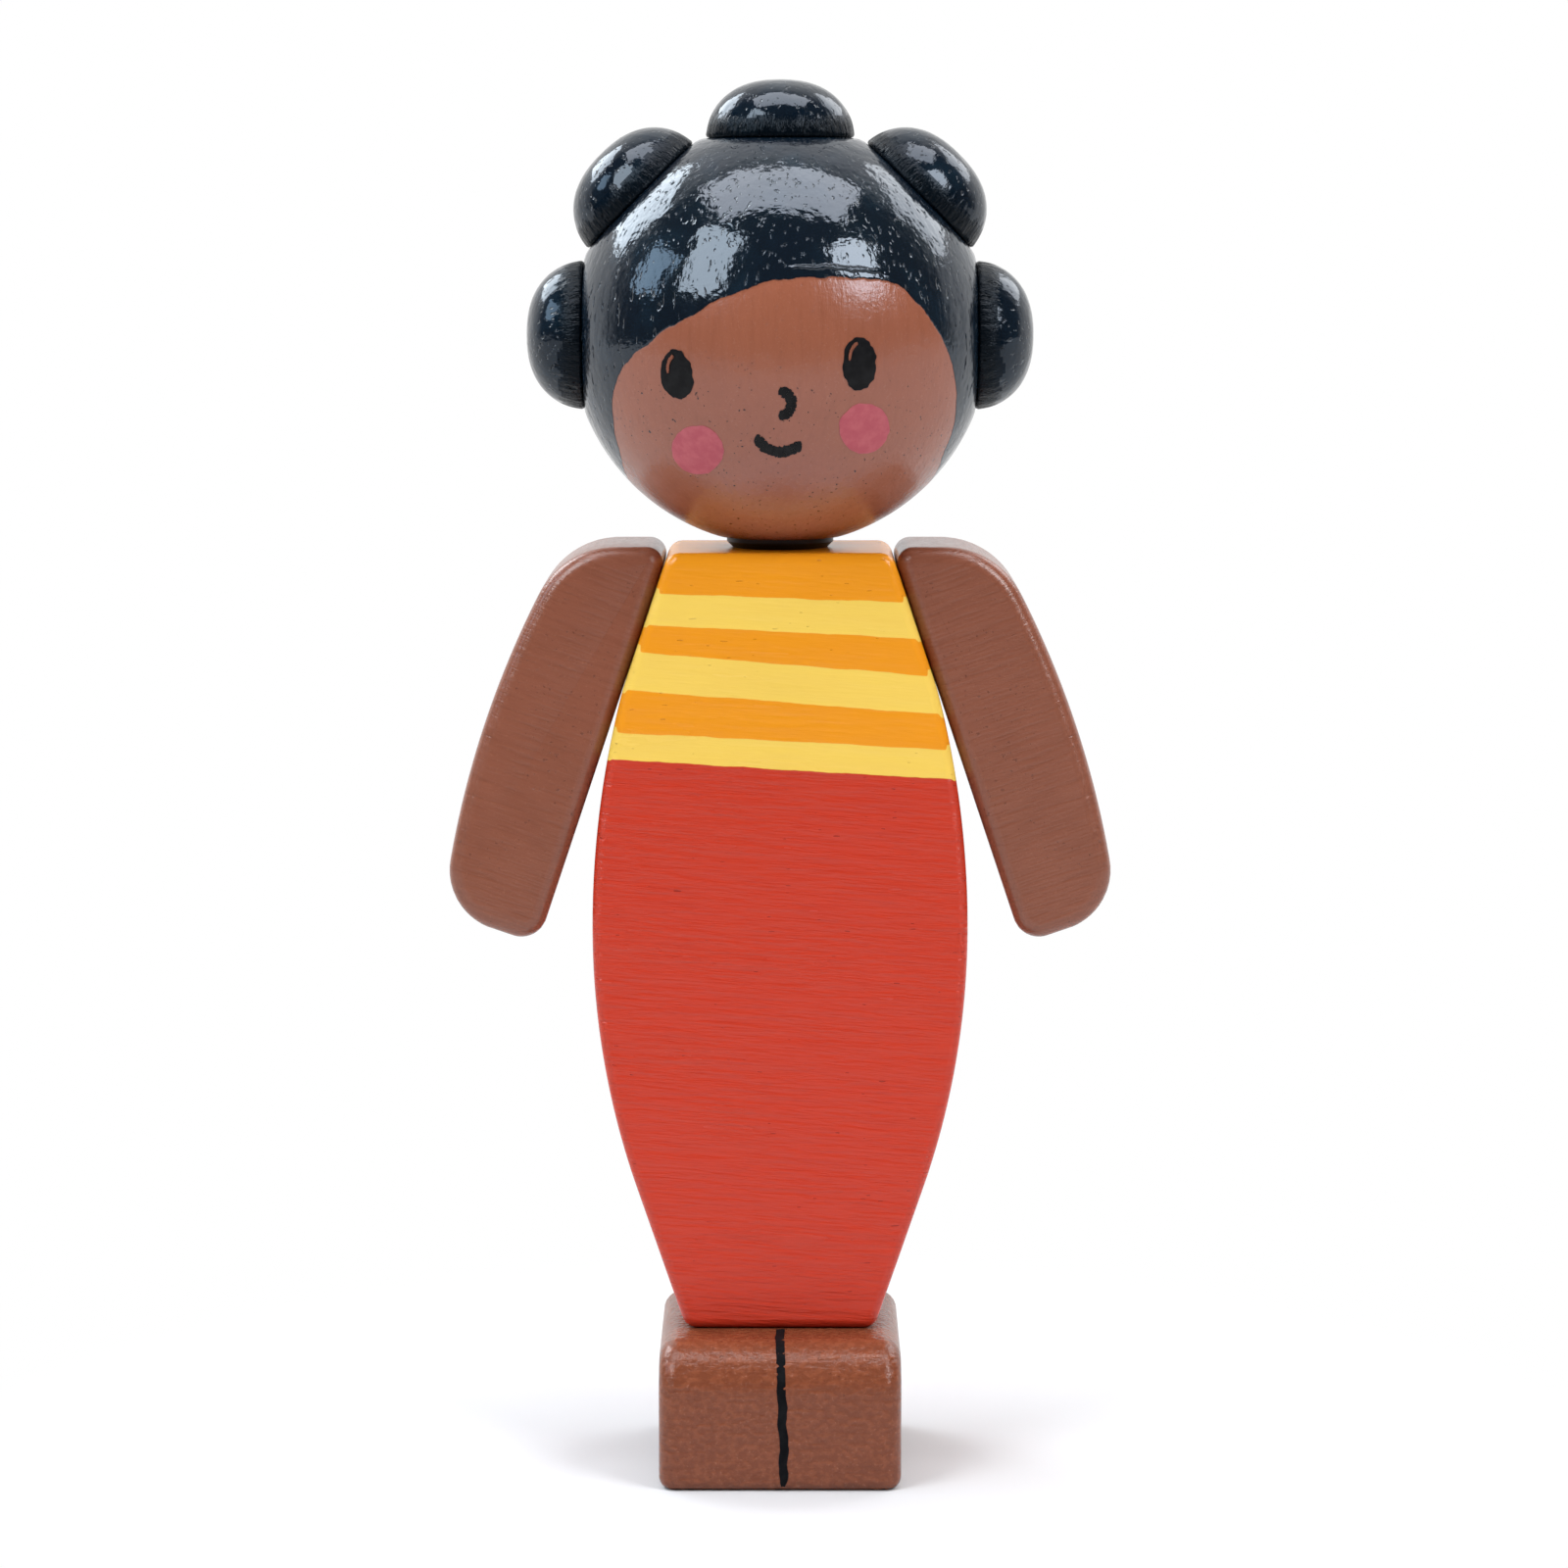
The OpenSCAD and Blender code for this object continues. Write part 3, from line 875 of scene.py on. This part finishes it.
def make_dress_material():
    material, tree, shader = new_material("dress_paint")
    place = own_place(tree)
    axes = add(tree, "ShaderNodeSeparateXYZ", {0: place}).outputs
    fallen = calc(tree, "MULTIPLY_ADD", axes["X"], GRAIN_FALL, axes["Z"])
    inputs = {"X": axes["X"], "Y": axes["Y"], "Z": fallen}
    board = add(tree, "ShaderNodeCombineXYZ", inputs).outputs[0]
    streaks = grain(tree, board, (6.0, 4.0, 0.18), 4.0, 0.6)
    brush = grain(tree, board, (14.0, 6.0, 1.6), 3.0)
    red = mixed(tree, ramp(tree, streaks, 0.20, 0.60), RED_DARK, RED)
    depth = calc(tree, "ABSOLUTE", axes["Y"])
    edge_start = (BODY_T / 2 - EDGE_START) * MM
    edge_end = (BODY_T / 2 - EDGE_END) * MM
    round_edge = ramp(tree, depth, edge_start, edge_end)
    colour = ORANGE
    for number, (height, slope, jog, paint) in enumerate(BANDS):
        wobble = grain(tree, place, (3.5, 3.5, 3.5), 3.0, shift=number * 3.0)
        border = calc(tree, "MULTIPLY_ADD", axes["X"], slope, height * MM)
        border = calc(tree, "MULTIPLY_ADD", wobble, BORDER_WOBBLE * MM, border)
        border = calc(tree, "MULTIPLY_ADD", round_edge, jog * MM, border)
        border = calc(tree, "SUBTRACT", border, BORDER_WOBBLE / 2 * MM)
        below = calc(tree, "SUBTRACT", border, axes["Z"])
        share = ramp(tree, below, -BORDER_SOFTNESS * MM, BORDER_SOFTNESS * MM)
        colour = mixed(tree, share, colour, red if paint is RED else paint)
    thin = calc(tree, "MULTIPLY", ramp(tree, brush, 0.35, 0.70), 0.03)
    colour = mixed(tree, thin, colour, RED_DARK)
    pores = ramp(tree, grain(tree, place, (1.3, 0.5, 0.20), 1.0), 0.74, 0.78)
    roughness = calc(tree, "MULTIPLY_ADD", brush, 0.14, 0.18)
    bare = calc(tree, "MULTIPLY_ADD", share, 0.75, 0.25)
    normal = raised(tree, calc(tree, "MULTIPLY", streaks, bare), 0.035)
    furrows = grain(tree, board, (5.0, 5.0, 0.55), 4.0, shift=5.0)
    furrows = calc(tree, "MULTIPLY", ramp(tree, furrows, 0.35, 0.65), bare)
    normal = raised(tree, furrows, 0.05, normal)
    normal = raised(tree, brush, 0.08, normal)
    normal = raised(tree, calc(tree, "MULTIPLY", pores, -1.0), 0.08, normal)
    pores = calc(tree, "MULTIPLY", pores, bare)
    colour = mixed(tree, calc(tree, "MULTIPLY", pores, 0.6), colour, RED_PIT)
    finish_with(tree, shader, colour, roughness, normal)
    shader.inputs["Specular IOR Level"].default_value = 0.4
    return material


def make_plain_paint(name, colour, other, roughness, gloss=0.25):
    material, tree, shader = new_material(name)
    place = own_place(tree)
    cloud = grain(tree, place, (0.9, 0.9, 0.9), 3.0)
    fine = grain(tree, place, (0.25, 0.25, 0.25), 3.0)
    tint = mixed(tree, ramp(tree, cloud, 0.35, 0.70), colour, other)
    rough = calc(tree, "MULTIPLY_ADD", fine, 0.2, roughness - 0.1)
    finish_with(tree, shader, tint, rough, raised(tree, fine, 0.01))
    shader.inputs["Specular IOR Level"].default_value = gloss
    return material


def make_cad_material(name, colour, other, lengths, roughness):
    """For a piece that stays as it came from the CAD, in the doll's own frame."""
    material, tree, shader = new_material(name)
    place = add(tree, "ShaderNodeTexCoord").outputs["Object"]
    streaks = grain(tree, place, lengths, 4.0)
    tint = mixed(tree, ramp(tree, streaks, 0.35, 0.65), colour, other)
    rough = calc(tree, "MULTIPLY_ADD", streaks, 0.2, roughness - 0.1)
    finish_with(tree, shader, tint, rough, raised(tree, streaks, 0.02))
    return material


# Stage

# Lengths of the stage are in metres.
FLOOR_FRONT = -0.36
FLOOR_BACK = 0.9
FLOOR_WIDTH = 3.2
FLOOR_GREY = (0.62, 0.62, 0.625, 1)
SHADOW_START = 0.018
SHADOW_END = 0.075
BACKDROP_H = 1.9
BACKDROP_MIDDLE = 0.9
WHITE = (1, 1, 1, 1)

# Softboxes: place, size, radiance and colour.
SOFTBOXES = {
    "softbox_top": ((0, -0.02, 0.70), (0.66, 0.34), 5.6, (0.98, 0.97, 1)),
    "softbox_right": ((0.44, -0.36, 0.48), (0.25, 0.345), 11.0, (0.97, 0.98, 1)),
    "softbox_left": ((-0.40, -0.36, 0.52), (0.29, 0.40), 8.2, (0.90, 0.96, 1)),
    "softbox_back_left": ((-0.50, 0.42, 0.55), (0.40, 0.34), 7.0, (0.86, 0.94, 1)),
    "softbox_back_right": ((0.50, 0.42, 0.55), (0.40, 0.34), 3.4, (0.95, 0.97, 1)),
    "fill_left": ((-0.62, -0.07, 0.41), (0.24, 0.24), 4.4, (0.62, 0.82, 1)),
}
SOFTBOX_AIM = (0, 0, 0.06)
AMBIENT = 0.12

# The camera, in millimetres like the doll.
CAMERA_PLACE = (0.33, -410, 108.9)
CAMERA_AIM = (0.33, 0, 57.7)
CAMERA_LENS = 111.5
CAMERA_SENSOR = 36


def seen_rays(rays, tree):
    """One for the rays that show the background, straight or in a glossy or clear surface."""
    shiny = calc(tree, "MAXIMUM", rays["Is Glossy Ray"], rays["Is Transmission Ray"])
    return calc(tree, "MAXIMUM", rays["Is Camera Ray"], shiny)


def make_floor():
    bpy.ops.object.select_all(action="DESELECT")
    middle = (FLOOR_BACK + FLOOR_FRONT) / 2
    bpy.ops.mesh.primitive_plane_add(size=1, location=(0, middle, 0))
    floor = bpy.context.object
    floor.name = "floor"
    floor.scale = (FLOOR_WIDTH, FLOOR_BACK - FLOOR_FRONT, 1)
    settle(floor)
    material, tree, shader = new_material("floor_white")
    shader.inputs["Base Color"].default_value = FLOOR_GREY
    shader.inputs["Roughness"].default_value = 0.7
    shader.inputs["Specular IOR Level"].default_value = 0.1
    place = add(tree, "ShaderNodeTexCoord").outputs["Object"]
    reach = add(tree, "ShaderNodeVectorMath", {0: place}, operation="LENGTH").outputs["Value"]
    far = ramp(tree, reach, SHADOW_START, SHADOW_END)
    rays = add(tree, "ShaderNodeLightPath").outputs
    share = calc(tree, "MULTIPLY", far, seen_rays(rays, tree))
    white = add(tree, "ShaderNodeEmission", {"Color": WHITE, "Strength": 1.0})
    blend = add(tree, "ShaderNodeMixShader", {0: share, 1: shader.outputs[0], 2: white.outputs[0]})
    tree.links.new(blend.outputs[0], tree.nodes["Material Output"].inputs["Surface"])
    floor.data.materials.append(material)


def make_backdrop():
    bpy.ops.object.select_all(action="DESELECT")
    place = (0, FLOOR_BACK, BACKDROP_MIDDLE)
    bpy.ops.mesh.primitive_plane_add(size=1, location=place, rotation=(math.pi / 2, 0, 0))
    backdrop = bpy.context.object
    backdrop.name = "backdrop"
    backdrop.scale = (FLOOR_WIDTH, BACKDROP_H, 1)
    settle(backdrop)
    material, tree, _ = new_material("backdrop_white")
    white = add(tree, "ShaderNodeEmission", {"Color": WHITE, "Strength": 1.0})
    tree.links.new(white.outputs[0], tree.nodes["Material Output"].inputs["Surface"])
    backdrop.data.materials.append(material)


def make_softbox(name, place, size, radiance, colour):
    light = bpy.data.lights.new(name, "AREA")
    light.shape = "RECTANGLE"
    light.size = size[0]
    light.size_y = size[1]
    light.energy = radiance * math.pi * size[0] * size[1]
    light.color = colour
    lamp = bpy.data.objects.new(name, light)
    bpy.context.scene.collection.objects.link(lamp)
    lamp.location = place
    towards = Vector(SOFTBOX_AIM) - Vector(place)
    lamp.rotation_euler = towards.to_track_quat("-Z", "Y").to_euler()


def make_light():
    for name, settings in SOFTBOXES.items():
        make_softbox(name, *settings)
    world = bpy.data.worlds.new("studio")
    bpy.context.scene.world = world
    world.use_nodes = True
    tree = world.node_tree
    ambient = tree.nodes["Background"]
    ambient.inputs["Color"].default_value = WHITE
    ambient.inputs["Strength"].default_value = AMBIENT
    rays = add(tree, "ShaderNodeLightPath").outputs
    white = add(tree, "ShaderNodeBackground", {"Color": WHITE, "Strength": 1.0})
    outward = add(tree, "ShaderNodeTexCoord").outputs["Generated"]
    depth = add(tree, "ShaderNodeSeparateXYZ", {0: outward}).outputs["Y"]
    behind = calc(tree, "MAXIMUM", ramp(tree, depth, 0.1, 0.5), rays["Is Camera Ray"])
    share = calc(tree, "MULTIPLY", seen_rays(rays, tree), behind)
    inputs = {0: share, 1: ambient.outputs[0], 2: white.outputs[0]}
    blend = add(tree, "ShaderNodeMixShader", inputs)
    tree.links.new(blend.outputs[0], tree.nodes["World Output"].inputs["Surface"])


def make_camera():
    data = bpy.data.cameras.new("camera")
    data.lens = CAMERA_LENS
    data.sensor_width = CAMERA_SENSOR
    camera = bpy.data.objects.new("camera", data)
    bpy.context.scene.collection.objects.link(camera)
    place = Vector(CAMERA_PLACE) * MM
    aim = Vector(CAMERA_AIM) * MM
    camera.location = place
    camera.rotation_euler = (aim - place).to_track_quat("-Z", "Y").to_euler()
    data.clip_start = 0.01
    bpy.context.scene.camera = camera


# Assembly


def dress_piece(piece, material, body, node=None):
    piece.data.materials.clear()
    piece.data.materials.append(material)
    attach(piece, body)
    if node:
        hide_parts(node)


def dull_foot(bun, foot_grain_and_shade, number):
    """The end grain round the foot of a bun drinks the paint and keeps less gloss; the darker colour
    there is painted shade.
    """
    bun.data.materials.append(foot_grain_and_shade)
    place = bun.data.attributes["place"].data
    for face in bun.data.polygons:
        middle = Vector((0, 0, 0))
        for corner in face.vertices:
            middle += place[corner].vector / len(face.vertices)
        middle.x -= number * BUN_SHIFT * MM
        around = middle.xy.normalized() * 5
        border = 1.9 + 0.9 * noise.noise(Vector((around.x, around.y, number * 7)))
        if middle.z < border * MM:
            face.material_index = 1


def paint_face(head):
    black = make_plain_paint("eye_paint", BLACK, BLACK_WORN, 0.35, 0.15)
    pink = make_plain_paint("cheek_paint", PINK, PINK_PALE, 0.42)
    brown = make_plain_paint("glint_paint", SKIN, SKIN_DARK, 0.45)
    films = [
        (dab("eye_right", (-8.34, -2.69), (1.30, 2.05), -8, 3, 0.13), black, FILM),
        (dab("eye_left", (6.42, -1.78), (1.37, 2.16), 0, 5, 0.13), black, FILM),
        (dab("cheek_right", (-6.71, -8.90), (2.15, 2.05), -12, 7, 0.08), pink, FILM),
        (dab("cheek_left", (6.85, -7.09), (2.06, 2.08), 0, 9, 0.08), pink, FILM),
        (stroke("glint_right", (-8.20, -2.45), (0.86, 1.35), 105, 75, 0.22, -8, 2), brown, 3 * FILM),
        (stroke("glint_left", (6.50, -1.50), (0.90, 1.45), 105, 75, 0.22, 0, 3), brown, 3 * FILM),
        (stroke("nose", (-0.05, -4.96), (1.0, 1.0), -95, 190, 0.95, 0, 5), black, FILM),
        (stroke("mouth", (0.06, -6.84), (2.13, 2.13), 202, 120, 0.98, 0, 6), black, FILM),
    ]
    for film, material, thickness in films:
        lay_on(film, head, thickness)
        dress_piece(film, material, "head")


def build():
    hair = make_hair_material("hair_paint", 0.45, 0.10)
    foot_grain_and_shade = make_hair_material("hair_end_grain", 0.12, 0.20)
    skin = make_skin_material()
    head = make_head()
    dress_piece(head, make_head_material(), "head", "head_ball")
    for number, (name, turn) in enumerate(BUN_TURNS.items()):
        bun = make_bun(name + "_painted", turn, number)
        dress_piece(bun, hair, "head", name)
        dull_foot(bun, foot_grain_and_shade, number)
    dress_piece(make_body(), make_dress_material(), "trunk", "body_board")
    arm = make_arm()
    other = mirror_arm(arm)
    dress_piece(arm, skin, "left_arm", "arm_left")
    dress_piece(other, skin, "right_arm", "arm_right")
    dress_piece(make_feet(), make_foot_material(), "trunk", "foot_block")
    black = make_plain_paint("line_paint", BLACK, BLACK_WORN, 0.6, 0.06)
    dress_piece(make_foot_line(), black, "trunk")
    paint_face(head)
    neck = make_cad_material("neck_paint", BLACK, BLACK_WORN, (1, 1, 0.3), 0.4)
    wood = make_cad_material("bare_wood", WOOD, WOOD_DARK, (0.6, 0.6, 6), 0.6)
    for name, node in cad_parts.items():
        if not node.hide_render:
            node.data.materials.clear()
            node.data.materials.append(neck if name == "neck_peg" else wood)


build()
make_floor()
make_backdrop()
make_light()
make_camera()
bpy.context.scene.view_settings.view_transform = "Standard"
